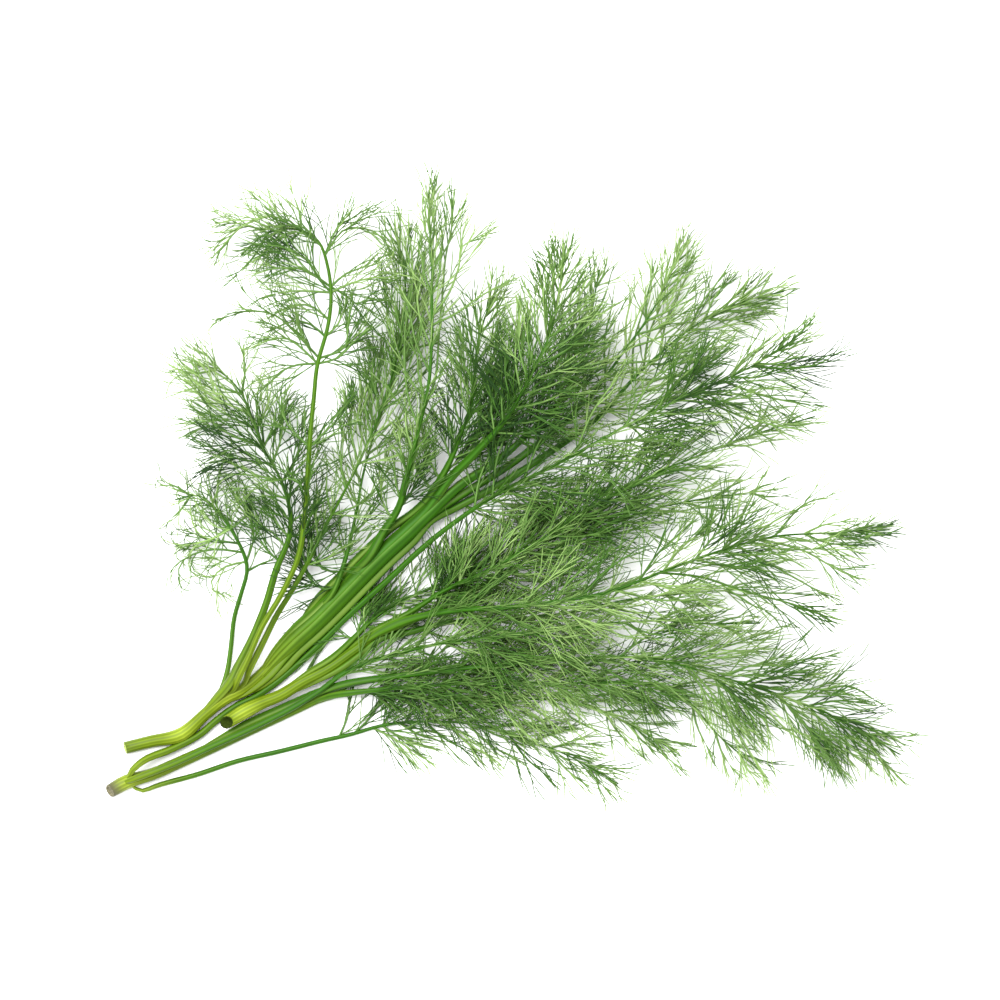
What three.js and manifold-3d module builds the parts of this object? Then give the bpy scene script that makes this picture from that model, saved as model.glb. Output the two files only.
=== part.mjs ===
// A small bunch of fresh dill lying on a table: three cut stems and their feathery leaves.
// Millimetres, +Z up. The bunch rests on z = 0, and the origin is under the middle of its box.
// +X runs along the bunch, from the cut ends to the leaf tips. Each leaf is one piece: a sheath
// and leafstalk, its midrib, and a row of side branches on either side of it.
import * as THREE from 'three';
import { mergeVertices } from 'three/addons/utils/BufferGeometryUtils.js';
import Module from 'manifold-3d';

const wasm = await Module();
wasm.setup();

// Driving dimensions
const STEM_SIDES = 8;
const STALK_SIDES = 5;
const BRANCH_SIDES = 3;
const BRANCH_STEPS = 2;
const STEM_RADIUS = 1.8; // a young stem just above its cut end
const STEM_END_RADIUS = 1.2; // where the last leaves leave the stem
const NODE_SWELL = 1.2; // a stem is this much thicker at a node
const NODE_LENGTH = 5; // half the length of that swelling
const SHEATH_SWELL = 1.35; // a leafstalk is this much thicker where its sheath holds the stem
const SHEATH_LENGTH = 9;
const MIDRIB_TIP_RADIUS = 0.35;
const BRANCH_RADIUS = 0.7; // half the width of a side branch with its threads drawn together
const BRANCH_TIP_RADIUS = 0.3;
const BRANCH_THINNESS = 0.75; // a side branch's height as a share of its width
const BRANCH_BEND = THREE.MathUtils.degToRad(14); // how far its outer half turns to the tip
const BRANCH_DROOP = 0.07; // how far it sinks, as a share of its length
const LAST_BRANCH = 0.93; // place of the last pair along the midrib, as a share of the leaf
const MIDDLE_HEIGHT = 0.6; // no branch's middle or tip is set lower than these above the table
const TIP_HEIGHT = 0.4;
const NEAREST_STEPS = 100; // how finely a midrib is searched for where a drawn branch leaves it
const STEM_STEP = 7; // length of one straight stretch of a stem
const STALK_STEP = 8; // and of a leafstalk or midrib
const STEM_COLOUR = 0x7d9c2c;
const LEAF_COLOUR = 0x4f7d2b;
const ROUGHNESS = 0.6;

const UP = new THREE.Vector3(0, 0, 1);

// The three stems: points along the middle of each, from the cut end, and where its nodes are.
const STEMS = [
  {
    name: 'stem_1',
    radius: STEM_RADIUS,
    nodes: [0.28],
    route: [
      [-115, -78, 1.8], [-107, -76, 1.8], [-98, -74, 1.9], [-91, -68, 2], [-85, -63, 2.2],
      [-79, -60, 2.2], [-73, -55, 2.1], [-67, -48, 2.1], [-57, -39, 2.4], [-48, -30, 3],
      [-38, -20, 4], [-27, -10, 5.5], [-18, -1, 7.5],
    ],
  },
  {
    name: 'stem_2',
    radius: STEM_RADIUS,
    nodes: [0.06],
    route: [
      [-119.5, -91, 2.2], [-114, -88, 2.2], [-107, -86, 2.1], [-100, -83, 2], [-89, -78, 2],
      [-76, -72, 2], [-65, -67, 2], [-54, -62, 2.2], [-48, -60, 2.6],
    ],
  },
  {
    name: 'stem_3',
    radius: STEM_RADIUS,
    nodes: [0.1],
    route: [
      [-84, -70, 6], [-78, -66.4, 5.8], [-73, -64, 5.2], [-67.6, -61.8, 4.8], [-61.4, -58, 4.4],
      [-53.4, -53.8, 4.2], [-45.6, -48.4, 4.4], [-38, -43, 5], [-31, -40, 6],
    ],
  },
];

// The leaves, named after the stem that they grow from. radius is the leafstalk's, blade is where
// the feathery part starts as a share of the leaf's length, left and right are the lengths of the
// side branches from there to the tip, seen from above with the tip ahead, and fan is the angle in
// degrees between midrib and branch at the first pair and at the last.
const LEAVES = [
  {
    name: 'leaf_1a',
    radius: 0.75,
    blade: 0.7,
    fan: [85, 45],
    left: [14, 10],
    right: [8, 9],
    drawn: [
      [[-78, -25], [-73, -22], [-69, -21]],
      [[-81, -20], [-87, -18], [-93, -19], [-98, -22], [-99, -27]],
      [[-82, -17], [-89, -15], [-95, -13]],
      [[-79, -22], [-84, -23], [-88, -26], [-89, -30], [-85, -31]],
      [[-84, -12], [-87, -14], [-92, -17], [-96, -17]],
      [[-78, -22], [-76, -14], [-78, -7], [-82, -2]],
      [[-80, -17], [-83, -11], [-87, -6], [-92, -4]],
    ],
    route: [
      [-86, -61, 4.8], [-84, -55, 3.4], [-83, -48, 2.6], [-82, -39, 2.6], [-80, -32, 3],
      [-78, -24, 3.4], [-80, -17, 4], [-85, -9, 4], [-92, -2, 3], [-100, -3, 0.4],
    ],
  },
  {
    name: 'leaf_1b',
    radius: 1.2,
    blade: 0.42,
    fan: [60, 35],
    left: [8, 12, 22, 24, 20, 12],
    right: [12, 16, 16, 14, 12, 8],
    drawn: [
      [[-66, -17], [-70, -13], [-75, -10], [-79, -5]],
      [[-68, -22], [-72, -18], [-75, -13]],
    ],
    route: [
      [-83, -58, 6], [-80, -52, 5], [-76, -44, 5], [-72, -34, 5.6], [-69, -24, 6.5],
      [-65, -14, 7.5], [-65, -5, 8.5], [-68, 4, 9], [-73, 13, 9], [-77, 24, 8.5], [-81, 31, 7],
      [-87, 36, 4], [-94, 38, 0.4],
    ],
  },
  {
    name: 'leaf_1c',
    radius: 0.85,
    blade: 0.86,
    fan: [62, 40],
    left: [12, 16],
    right: [12, 14],
    drawn: [
      [[-60, 0], [-63, 3], [-67, 3]],
      [[-59, 12], [-63, 17], [-66, 21], [-67, 25]],
      [[-58, 12], [-54, 17], [-50, 21], [-48, 25]],
      [[-56, 37], [-62, 43], [-66, 45], [-73, 44]],
      [[-56, 39], [-63, 47], [-69, 52], [-77, 53], [-84, 51]],
      [[-56, 37], [-62, 37], [-67, 35], [-71, 31]],
      [[-56, 37], [-50, 39], [-46, 43], [-43, 46]],
      [[-55, 38], [-48, 42], [-47, 49], [-46, 57]],
      [[-52, 59], [-56, 63], [-59, 68], [-66, 72], [-74, 73]],
      [[-52, 60], [-59, 65], [-66, 66], [-74, 65]],
      [[-52, 58], [-59, 59], [-64, 59], [-69, 58]],
      [[-52, 59], [-47, 61], [-40, 63], [-34, 63]],
      [[-52, 60], [-48, 58], [-44, 55], [-40, 58]],
      [[-52, 60], [-48, 64], [-43, 66], [-39, 68]],
      [[-55, 73], [-62, 77], [-68, 75], [-73, 70]],
      [[-56, 74], [-60, 78], [-65, 79], [-71, 78]],
      [[-54, 70], [-51, 77], [-48, 80], [-43, 82]],
      [[-54, 69], [-49, 77], [-43, 78], [-38, 76], [-34, 71]],
    ],
    route: [
      [-80, -56, 8.8], [-77, -50, 9], [-73, -41, 9.4], [-67, -31, 10.4], [-62, -20, 12.4],
      [-60, -8, 14.4], [-59, 5, 16], [-58, 18, 17], [-57, 28, 17.6], [-56, 37, 18], [-53, 48, 17.8],
      [-52, 57, 17], [-53, 66, 15.4], [-56, 74, 13], [-63, 78, 9.6], [-72, 77, 5.4], [-80, 71, 0.4],
    ],
  },
  {
    name: 'leaf_1d',
    radius: 0.9,
    blade: 0.24,
    fan: [45, 25],
    left: [7, 14, 20, 18, 16, 12, 8],
    right: [12, 16, 18, 18, 16, 12, 8],
    route: [
      [-77, -54, 6], [-73, -46, 6], [-69, -38, 6.4], [-64, -30, 7.4], [-59, -21, 8.6],
      [-54, -11, 10], [-48, 0, 11.4], [-43, 10, 12], [-38, 22, 12.4], [-34, 34, 12.4],
      [-31, 48, 12], [-30, 61, 10], [-32, 73, 7], [-36, 82, 3],
    ],
  },
  {
    name: 'leaf_1e',
    radius: 1.3,
    blade: 0.16,
    fan: [34, 14],
    left: [10, 14, 18, 18, 14, 9, 6],
    right: [8, 7, 7, 10, 12, 9, 6],
    drawn: [
      [[-22, 49], [-15, 52], [-8, 57], [-1, 61]],
      [[-25, 22], [-21, 33], [-20, 45], [-19, 57], [-18, 69], [-16, 79], [-16, 86]],
      [[-26, 18], [-29, 27], [-30, 36], [-30, 48], [-28, 59], [-28, 69], [-29, 77]],
      [[-22, 51], [-17, 58], [-14, 66], [-13, 72], [-8, 75]],
      [[-33, -7], [-29, -2], [-26, 4], [-24, 10]],
      [[-34, -9], [-37, -4], [-37.5, 2], [-36.5, 9]],
    ],
    route: [
      [-41, -20, 7.5], [-37, -13, 8.6], [-32, -5, 11], [-29, 6, 15], [-26, 18, 18.5],
      [-23, 31, 20.5], [-22, 45, 21], [-22, 57, 20], [-22, 69, 17], [-23, 81, 10], [-22, 92, 0.4],
    ],
  },
  {
    name: 'leaf_1f',
    radius: 1.1,
    blade: 0.2,
    fan: [45, 25],
    left: [10, 14, 16, 14, 10, 6],
    right: [12, 16, 16, 14, 10, 6],
    drawn: [
      [[-22, 0], [-26, 5], [-29, 12], [-30, 20]],
      [[-20, 3], [-23, 9], [-25, 16], [-25, 23]],
      [[-19, 5], [-13, 10], [-9, 15], [-6, 21]],
    ],
    route: [
      [-23, -2, 8.6], [-18, 6, 11], [-14, 15, 14], [-10, 27, 16.4], [-9, 39, 17], [-7, 49, 16],
      [-3, 60, 13],
    ],
  },
  {
    name: 'leaf_1g',
    radius: 1.1,
    blade: 0.25,
    fan: [50, 28],
    left: [16, 18, 20, 18, 14, 10, 6],
    right: [16, 18, 20, 18, 14, 10, 6],
    drawn: [
      [[-10, 10], [-6, 17], [-5, 24], [-4, 31]],
    ],
    route: [
      [-17, 3, 10.4], [-9, 11, 15], [0, 21, 20], [7, 33, 24], [13, 46, 24.5], [16, 60, 21],
      [17, 72, 15],
    ],
  },
  {
    name: 'leaf_1h',
    radius: 1.2,
    blade: 0.3,
    fan: [42, 22],
    left: [14, 18, 18, 14, 10, 6],
    right: [14, 18, 18, 16, 12, 7],
    route: [
      [-14, 1, 8], [-2, 9, 11.5], [10, 20, 13.4], [19, 31, 13.6], [24, 43, 13], [26, 55, 11],
      [28, 66, 7],
    ],
  },
  {
    name: 'leaf_1i',
    radius: 1.15,
    blade: 0.34,
    fan: [46, 24],
    left: [16, 20, 22, 18, 14, 10, 6],
    right: [16, 20, 22, 20, 16, 10, 6],
    route: [
      [-14, -2, 5.4], [2, 8, 8], [16, 19, 9], [27, 30, 9.4], [35, 41, 9.2], [43, 52, 8],
      [49, 64, 6], [55, 75, 2.6],
    ],
  },
  {
    name: 'leaf_1j',
    radius: 1.1,
    blade: 0.45,
    fan: [46, 22],
    left: [20, 24, 22, 18, 12, 7],
    right: [18, 22, 20, 16, 12, 7],
    drawn: [
      [[-9, -2], [-4, -3], [2, -5], [8, -5]],
      [[-13, -4], [-9, -7], [-3, -9], [3, -10]],
      [[-3, 1], [4, 0], [11, 0], [18, 2]],
    ],
    route: [
      [-15, -5.5, 3.8], [-2, 1.5, 4.2], [13, 11, 5], [28, 22, 5.4], [40, 35, 5.6], [55, 48, 5],
      [70, 56, 3], [84, 60, 0.4],
    ],
  },
  {
    name: 'leaf_1k',
    radius: 0.8,
    blade: 0.12,
    fan: [42, 25],
    left: [8, 13, 16, 14, 10, 6],
    right: [7, 12, 16, 14, 12, 8],
    drawn: [
      [[-51, -29], [-55, -30], [-59, -27], [-62, -21]],
      [[-50, -24], [-55, -24], [-58, -19], [-59, -13]],
    ],
    route: [
      [-52, -31, 6.4], [-48, -20, 6.6], [-45, -7, 7], [-43, 4, 7.6], [-40, 15, 8], [-36, 27, 8],
      [-32, 39, 7.6], [-28, 51, 6.6], [-25, 62, 5],
    ],
  },
  {
    name: 'leaf_2a',
    radius: 1.1,
    blade: 0.52,
    fan: [46, 22],
    left: [18, 24, 28, 26, 22, 16, 10],
    right: [20, 24, 26, 24, 20, 14, 8],
    drawn: [
      [[64, 31], [76, 28], [85, 26], [92, 25]],
      [[55, 27], [69, 22], [80, 19], [86, 18]],
      [[74, 37], [84, 36], [92, 37], [98, 40]],
    ],
    route: [
      [-112, -84, 5.4], [-108, -81, 4], [-101, -78.4, 2.6], [-93, -74.4, 1.6], [-87.5, -69.8, 1.5],
      [-81.4, -65.4, 1.5], [-74.6, -62, 1.5], [-66, -55.6, 1.5], [-55.4, -45.8, 1.7],
      [-46.8, -37.4, 2.6], [-34.4, -26.2, 5], [-24.4, -17, 8], [-15, -9.6, 11], [-2, -1, 15.6],
      [16, 8, 19], [34, 18, 20.6], [52, 27, 20], [70, 35, 17], [85, 44, 11], [93, 52, 5],
    ],
  },
  {
    name: 'leaf_2b',
    radius: 1,
    blade: 0.38,
    fan: [40, 22],
    left: [6, 18, 22, 20, 18, 14, 9],
    right: [10, 13, 20, 20, 18, 14, 9],
    drawn: [
      [[-46, -54], [-40, -51], [-35, -50], [-29, -46]],
      [[-50, -56], [-44, -54.5], [-38, -53], [-32, -52]],
    ],
    route: [
      [-112, -87, 5.6], [-100, -82.4, 5.3], [-89, -77.4, 5.2], [-77, -72, 5.1], [-65, -66, 5],
      [-56, -60.5, 5], [-47, -54.2, 6.4], [-32, -49, 9], [-14, -45, 15.2], [7, -43, 18.4],
      [28, -40, 18.6], [46, -39, 17.6], [61, -40, 15], [76, -40, 10],
    ],
  },
  {
    name: 'leaf_2c',
    radius: 0.8,
    blade: 0.5,
    fan: [45, 30],
    left: [14, 18, 16, 14, 12, 8],
    right: [14, 16, 16, 16, 14, 8],
    drawn: [
      [[-50, -75], [-48, -69], [-47, -64]],
      [[-46, -74], [-42, -70], [-39, -66], [-37, -62]],
    ],
    route: [
      [-110, -91, 1.2], [-104, -89, 1.1], [-93, -86, 1.1], [-81, -82, 1.1], [-68, -79, 1.1],
      [-56, -76, 1.1], [-47, -74, 1.2], [-36, -71, 1.4], [-23, -70, 1.8], [-9, -71, 2],
      [4, -75, 1.8], [18, -80, 1.2], [34, -89, 0.4],
    ],
  },
  {
    name: 'leaf_2d',
    radius: 1.1,
    blade: 0.12,
    fan: [42, 30],
    left: [12, 18, 20, 18, 24, 18, 16, 12],
    right: [3, 14, 26, 30, 30, 30, 26, 15],
    drawn: [
      [[55, -54], [64, -64], [72, -77], [78, -87]],
      [[81, -60], [88, -68], [95, -78], [101, -84]],
      [[88, -61], [102, -59], [112, -64]],
      [[49, -49], [69, -46], [82, -41]],
      [[72, -57], [85, -52], [97, -50]],
    ],
    route: [
      [-46, -58, 5], [-32, -56, 7], [-17, -54, 9.6], [4, -52, 10.9], [29, -50, 12.6],
      [46, -51, 12.6], [64, -56, 11], [80, -61, 8], [98, -68, 4.4], [119, -80, 0.4],
    ],
  },
  {
    name: 'leaf_2e',
    radius: 0.8,
    blade: 0.06,
    fan: [45, 30],
    left: [12, 16, 16, 14, 10, 6],
    right: [6, 14, 22, 20, 14, 8],
    route: [
      [-45, -61, 2], [-32, -62, 3.2], [-14, -63, 4.4], [4, -63, 5], [21, -64, 5], [34, -69, 3.6],
      [51, -79, 0.4],
    ],
  },
  {
    name: 'leaf_2f',
    radius: 0.8,
    blade: 0.12,
    fan: [42, 28],
    left: [7, 15, 18, 16, 12, 8],
    right: [12, 18, 20, 18, 14, 8],
    route: [
      [-46, -61, 7.4], [-26, -59, 7.4], [-2, -58, 8.4], [22, -58, 9], [40, -58, 8.4],
      [54, -63, 6.6], [64, -74, 4], [78, -86, 0.4],
    ],
  },
  {
    name: 'leaf_3a',
    radius: 1.1,
    blade: 0.12,
    fan: [44, 20],
    left: [16, 20, 22, 20, 22, 18, 12, 7],
    right: [16, 20, 24, 26, 24, 20, 14, 8],
    drawn: [
      [[45, -24], [58, -26], [70, -30], [85, -34], [96, -38]],
      [[76, -15], [88, -18], [97, -23], [103, -26]],
      [[79, -12], [88, -5], [96, -2]],
      [[64, -17], [71, -6], [75, 2]],
    ],
    route: [
      [-29, -39, 8.6], [-15, -36, 14], [0, -35, 19.6], [16, -33, 23.4], [31, -30, 24.6],
      [47, -24, 24], [64, -18, 21], [80, -14, 16], [97, -13, 9], [115, -12, 0.4],
    ],
  },
  {
    name: 'leaf_3b',
    radius: 0.9,
    blade: 0.06,
    fan: [40, 20],
    left: [14, 17, 20, 20, 16, 12, 7],
    right: [14, 18, 20, 18, 16, 12, 8],
    drawn: [
      [[-14, -28], [-13, -21], [-9, -15], [-3, -10]],
      [[-17, -29], [-17, -22], [-14, -17], [-9, -12]],
      [[-4, -23], [-2, -16], [4, -11], [11, -8]],
    ],
    route: [
      [-29, -37, 6.4], [-18, -30, 9], [-3, -23, 13.6], [12, -14, 16], [28, -4, 16.6], [45, 5, 16],
      [60, 11, 14], [76, 17, 10], [93, 22, 4],
    ],
  },
  {
    name: 'leaf_3c',
    radius: 0.9,
    blade: 0.06,
    fan: [40, 20],
    left: [14, 18, 20, 18, 14, 9],
    right: [14, 18, 20, 18, 14, 10],
    route: [
      [-27, -39, 4.4], [-15, -33, 6.4], [1, -24, 9.4], [21, -15, 12], [40, -7, 12.6], [58, -3, 11],
      [81, 0, 6],
    ],
  },
  {
    name: 'leaf_3d',
    radius: 1.1,
    blade: 0.04,
    fan: [40, 22],
    left: [12, 16, 18, 16, 12, 8],
    right: [12, 16, 18, 16, 12, 8],
    route: [
      [-29, -43, 4], [-17, -40, 4.4], [1, -39, 6.4], [19, -37, 8], [37, -33, 9], [55, -31, 8],
      [73, -30, 4],
    ],
  },
  {
    name: 'leaf_3e',
    radius: 1,
    blade: 0.06,
    fan: [48, 28],
    left: [8, 10, 12, 12, 12, 9, 6],
    right: [10, 12, 14, 14, 12, 9, 6],
    drawn: [
      [[-45, -44], [-44, -40], [-41, -36.5], [-37, -33.5]],
      [[-43, -42], [-42, -37], [-38, -32], [-34, -28]],
      [[-46, -45], [-51, -44], [-55, -47], [-58, -51]],
    ],
    route: [
      [-46, -45, 3], [-39, -38, 2.6], [-30, -33, 2.4], [-16, -27, 3], [0, -21, 3.6], [14, -15, 4],
      [28, -9, 4],
    ],
  },
];

function curveThrough(points) {
  const vectors = points.map((point) => new THREE.Vector3(...point));
  return new THREE.CatmullRomCurve3(vectors, false, 'catmullrom', 0.5);
}

// The level direction to the left of a curve that runs along the given tangent.
function leftOf(tangent) {
  return new THREE.Vector3().crossVectors(UP, tangent).normalize();
}

// A closed tapered rod along a curve: a cylinder whose rings are carried to points of the curve.
function rod(curve, radiusAt, sides, steps, thinness = 1) {
  const geometry = new THREE.CylinderGeometry(1, 1, 1, sides, steps);
  geometry.deleteAttribute('normal');
  geometry.deleteAttribute('uv');
  const position = geometry.attributes.position;
  for (let i = 0; i < position.count; i += 1) {
    const along = Math.min(Math.max(position.getY(i) + 0.5, 0), 1);
    const tangent = curve.getTangentAt(along);
    const side = leftOf(tangent);
    const down = new THREE.Vector3().crossVectors(side, tangent);
    const radius = radiusAt(along);
    const place = curve.getPointAt(along);
    place.addScaledVector(side, position.getX(i) * radius);
    place.addScaledVector(down, position.getZ(i) * radius * thinness);
    position.setXYZ(i, place.x, place.y, place.z);
  }
  return solidFrom(geometry);
}

function solidFrom(geometry) {
  const merged = mergeVertices(geometry);
  const vertProperties = merged.attributes.position.array;
  const triVerts = Uint32Array.from(merged.index.array);
  return new wasm.Manifold(new wasm.Mesh({ numProp: 3, vertProperties, triVerts }));
}

function swelling(distance, length) {
  return Math.exp(-((distance / length) ** 2));
}

// A stem tapers from its cut end to its last leaves, and is thicker at its nodes.
function stemRod(stem) {
  const curve = curveThrough(stem.route);
  const length = curve.getLength();
  const steps = Math.round(length / STEM_STEP);
  const radiusAt = (along) => {
    const plain = THREE.MathUtils.lerp(stem.radius, STEM_END_RADIUS, along ** 2);
    const swell = stem.nodes.map((node) => swelling((along - node) * length, NODE_LENGTH));
    return plain * (1 + (NODE_SWELL - 1) * Math.max(...swell));
  };
  return rod(curve, radiusAt, STEM_SIDES, steps);
}

// A leafstalk and its midrib are one rod, thickest at the sheath and finest at the leaf's tip.
function midribRod(leaf) {
  const curve = curveThrough(leaf.route);
  const length = curve.getLength();
  const steps = Math.round(length / STALK_STEP);
  const radiusAt = (along) => {
    const plain = THREE.MathUtils.lerp(leaf.radius, MIDRIB_TIP_RADIUS, along ** 1.5);
    return plain * (1 + (SHEATH_SWELL - 1) * swelling(along * length, SHEATH_LENGTH));
  };
  return rod(curve, radiusAt, STALK_SIDES, steps);
}

// One side branch: it leaves the midrib at an angle and bends a little towards the leaf's tip.
function branchRod(curve, along, side, length, angle) {
  const start = curve.getPointAt(along);
  const tangent = curve.getTangentAt(along).setZ(0).normalize();
  const across = leftOf(tangent).multiplyScalar(side);
  const half = (turn) => {
    const ahead = tangent.clone().multiplyScalar(Math.cos(turn) * length * 0.5);
    return ahead.addScaledVector(across, Math.sin(turn) * length * 0.5);
  };
  const middle = start.clone().add(half(angle));
  const tip = middle.clone().add(half(angle - BRANCH_BEND));
  middle.z = Math.max(start.z - BRANCH_DROOP * length * 0.3, MIDDLE_HEIGHT);
  tip.z = Math.max(start.z - BRANCH_DROOP * length, TIP_HEIGHT);
  const route = curveThrough([start, middle, tip].map((point) => point.toArray()));
  const radiusAt = (t) => THREE.MathUtils.lerp(BRANCH_RADIUS, BRANCH_TIP_RADIUS, t);
  return rod(route, radiusAt, BRANCH_SIDES, BRANCH_STEPS, BRANCH_THINNESS);
}

// A side branch drawn through level places: it starts at the midrib and droops from its height.
function drawnBranchRod(curve, places) {
  const level = new THREE.Vector3(...places[0], 0);
  const apart = (point) => level.distanceTo(point.clone().setZ(0));
  const spaced = curve.getSpacedPoints(NEAREST_STEPS);
  const start = spaced.reduce((best, point) => (apart(point) < apart(best) ? point : best));
  const rest = places.slice(1).map(([x, y]) => {
    const away = Math.hypot(x - start.x, y - start.y);
    return [x, y, Math.max(start.z - BRANCH_DROOP * away, TIP_HEIGHT)];
  });
  const route = curveThrough([start.toArray(), ...rest]);
  const radiusAt = (t) => THREE.MathUtils.lerp(BRANCH_RADIUS, BRANCH_TIP_RADIUS, t);
  return rod(route, radiusAt, BRANCH_SIDES, BRANCH_STEPS * rest.length, BRANCH_THINNESS);
}

function branchRods(leaf) {
  const curve = curveThrough(leaf.route);
  const [firstAngle, lastAngle] = leaf.fan.map(THREE.MathUtils.degToRad);
  const rods = (leaf.drawn ?? []).map((places) => drawnBranchRod(curve, places));
  for (const [side, lengths] of [[1, leaf.left], [-1, leaf.right]]) {
    lengths.forEach((length, i) => {
      const share = i / (lengths.length - 1);
      const along = THREE.MathUtils.lerp(leaf.blade, LAST_BRANCH, share);
      const angle = THREE.MathUtils.lerp(firstAngle, lastAngle, share);
      rods.push(branchRod(curve, along, side, length, angle));
    });
  }
  return rods;
}

function leafSolid(leaf) {
  return wasm.Manifold.union([midribRod(leaf), ...branchRods(leaf)]);
}

function meshOf(solid, name, material) {
  const { vertProperties, triVerts } = solid.getMesh();
  const geometry = new THREE.BufferGeometry();
  geometry.setAttribute('position', new THREE.BufferAttribute(Float32Array.from(vertProperties), 3));
  geometry.setIndex(new THREE.BufferAttribute(Uint32Array.from(triVerts), 1));
  geometry.computeVertexNormals();
  const mesh = new THREE.Mesh(geometry, material);
  mesh.name = name;
  return mesh;
}

function greenMaterial(colour) {
  return new THREE.MeshStandardMaterial({ color: colour, roughness: ROUGHNESS, metalness: 0 });
}

const bunch = new THREE.Group();
bunch.name = 'dill_bunch';

for (const stem of STEMS) {
  bunch.add(meshOf(stemRod(stem), stem.name, greenMaterial(STEM_COLOUR)));
}

for (const leaf of LEAVES) {
  bunch.add(meshOf(leafSolid(leaf), leaf.name, greenMaterial(LEAF_COLOUR)));
}

export default bunch;
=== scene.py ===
from bisect import bisect_right
from collections import namedtuple
from math import atan2, ceil, cos, degrees, exp, pi, radians, sin
from random import Random

import bmesh
import bpy
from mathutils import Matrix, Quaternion, Vector
from mathutils.geometry import interpolate_bezier


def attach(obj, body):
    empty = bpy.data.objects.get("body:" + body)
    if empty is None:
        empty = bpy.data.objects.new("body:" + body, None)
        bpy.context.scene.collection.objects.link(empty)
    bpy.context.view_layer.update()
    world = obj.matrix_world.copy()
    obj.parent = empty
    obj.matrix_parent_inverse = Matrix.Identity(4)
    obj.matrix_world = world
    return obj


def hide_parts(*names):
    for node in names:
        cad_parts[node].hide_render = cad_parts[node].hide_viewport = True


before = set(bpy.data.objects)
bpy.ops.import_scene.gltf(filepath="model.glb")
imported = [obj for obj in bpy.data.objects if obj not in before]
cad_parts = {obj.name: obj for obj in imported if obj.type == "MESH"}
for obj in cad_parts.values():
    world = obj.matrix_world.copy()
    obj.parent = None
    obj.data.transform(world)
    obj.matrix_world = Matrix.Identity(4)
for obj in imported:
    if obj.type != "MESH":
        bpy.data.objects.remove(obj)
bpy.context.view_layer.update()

MM = 0.001
UP = Vector((0, 0, 1))

# Lines: how many steps a curve has from each point of its route to the next
FINE_STEPS = 12
ROD_STEPS = 8
BRANCH_STEPS = 6
SEARCH_STEPS = 100  # how finely a line is searched for its nearest place

# Stems
STEM_RADIUS = 1.8
STEM_END_RADIUS = 1.2
NODE_SWELL = 0.2  # added at a node, as a share of the radius
NODE_LENGTH = 5
STEM_SIDES = 36
STEM_RIBS = 12
STEM_RIB_HEIGHT = 0.035  # a share of the radius, as in every rib height
STEM_TIP = 9  # length over which a stem's hidden end narrows
NARROWEST_TIP = 0.1
RING_STEP = 2  # length between the rings of a stem or stalk
RIM = 0.24  # thickness of the rind on a cut end, as a share of the radius
CUT_WALL = 0.04  # how far the wall of a cut leans in
PITH_DEPTH = 0.25
HOLLOW_DEPTH = 2.5
CUT_FADE = 3  # length over which a slanted cut squares up with the stem
STEM_TONE_LENGTH = 120  # length over which a stem turns from yellow-green to green
DEEPEST_STEM_TONE = 0.3
DRY_LENGTH = 4.5  # how far a stem is dry from its cut end

# Leafstalks and midribs
SHEATH_SWELL = 0.35
SHEATH_LENGTH = 9
MARGIN_START = 0.7  # how far round towards a sheath's edge its pale margin starts
STALK_SIDES = 15
STALK_RIBS = 5
STALK_RIB_HEIGHT = 0.07
ROOT_RISE = 16  # length over which a leafstalk comes out of its stem
ROOT_THICKNESS = 0.15  # a root's thickness where it starts, as a share
ROOT_TAPER = 0.6  # less than 1 thickens it sooner
ROOT_DEPTH = 0.75  # how far out of the stem's middle a root starts, as a share of its radius
ROOT_STEP = 8
MIDRIB_TIP_RADIUS = 0.35
MIDRIB_TAPER = 1.5  # more than 1 keeps it thick further along
MIDRIB_SLIMNESS = 0.5  # what a midrib loses between the side branches, as a share
SLIM_START = 0.12  # how far before the first side branch it starts to, in leaf lengths
SLIM_LENGTH = 0.3
THINNEST_MIDRIB = 0.22

# Side branches of a leaf. An extra one grows between two where it is crowded
BRANCH_RADIUS = 0.38
BRANCH_TIP_RADIUS = 0.22
BRANCH_BEND = 14
BRANCH_DROOP = 0.07  # for each millimetre away from the midrib
MIDDLE_DROOP = 0.3  # what it has drooped half way, as a share
BRANCH_RING_STEP = 3
FEWEST_RINGS = 4
LAST_BRANCH = 0.93  # where on the midrib the last ones grow
MIDDLE_HEIGHT = 0.6  # the lowest that its middle lies
TIP_HEIGHT = 0.4  # and its tip
EXTRA_CHANCE = 0.7
EXTRA_SHIFT = 0.01
EXTRA_UNEVENNESS = (0.75, 1.1)
EXTRA_ANGLE_SPREAD = 5

# Twigs grow from side branches and from the midrib. A fan is the angle to what a shoot grows from, at
# the start and the end of that, and a pull is how far it leans back to it
SHOOT_STEPS = 4
STEP_UNEVENNESS = (0.7, 1.3)
TWIG_STEP = 3
TWIG_RADIUS = 0.2
TWIG_REACH = (0.05, 0.97)  # where on its branch the first twig and the last one grow
TWIG_FAN = (32, 13)
TWIG_FAN_SPREAD = 4
TWIG_TURN_SPREAD = 38
TWIG_PULL = (0.2, 0.5)
TWIG_CURL = 0.7  # as a share of its threads' curl
TWIG_SAG = 0.05
TWIG_SHARE = 0.5  # its length, as a share of its branch's
TWIG_UNEVENNESS = (0.8, 1.2)
SHORTEST_TWIG = 5
LONGEST_TWIG = 14
END_FAN = 0.05  # in radians, so nearly straight on
BRANCH_END_TWIG = 4
LEAF_END_TWIG = 3
LEAF_TIP_START = LAST_BRANCH - 0.05
LEAF_TIP_LAST_TWIG = 0.85
COVER_STEP = 3.4
COVER_LENGTH = 9
COVER_FAN = 30
COVER_FAN_SPREAD = 6
COVER_TURN_SPREAD = 35

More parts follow.
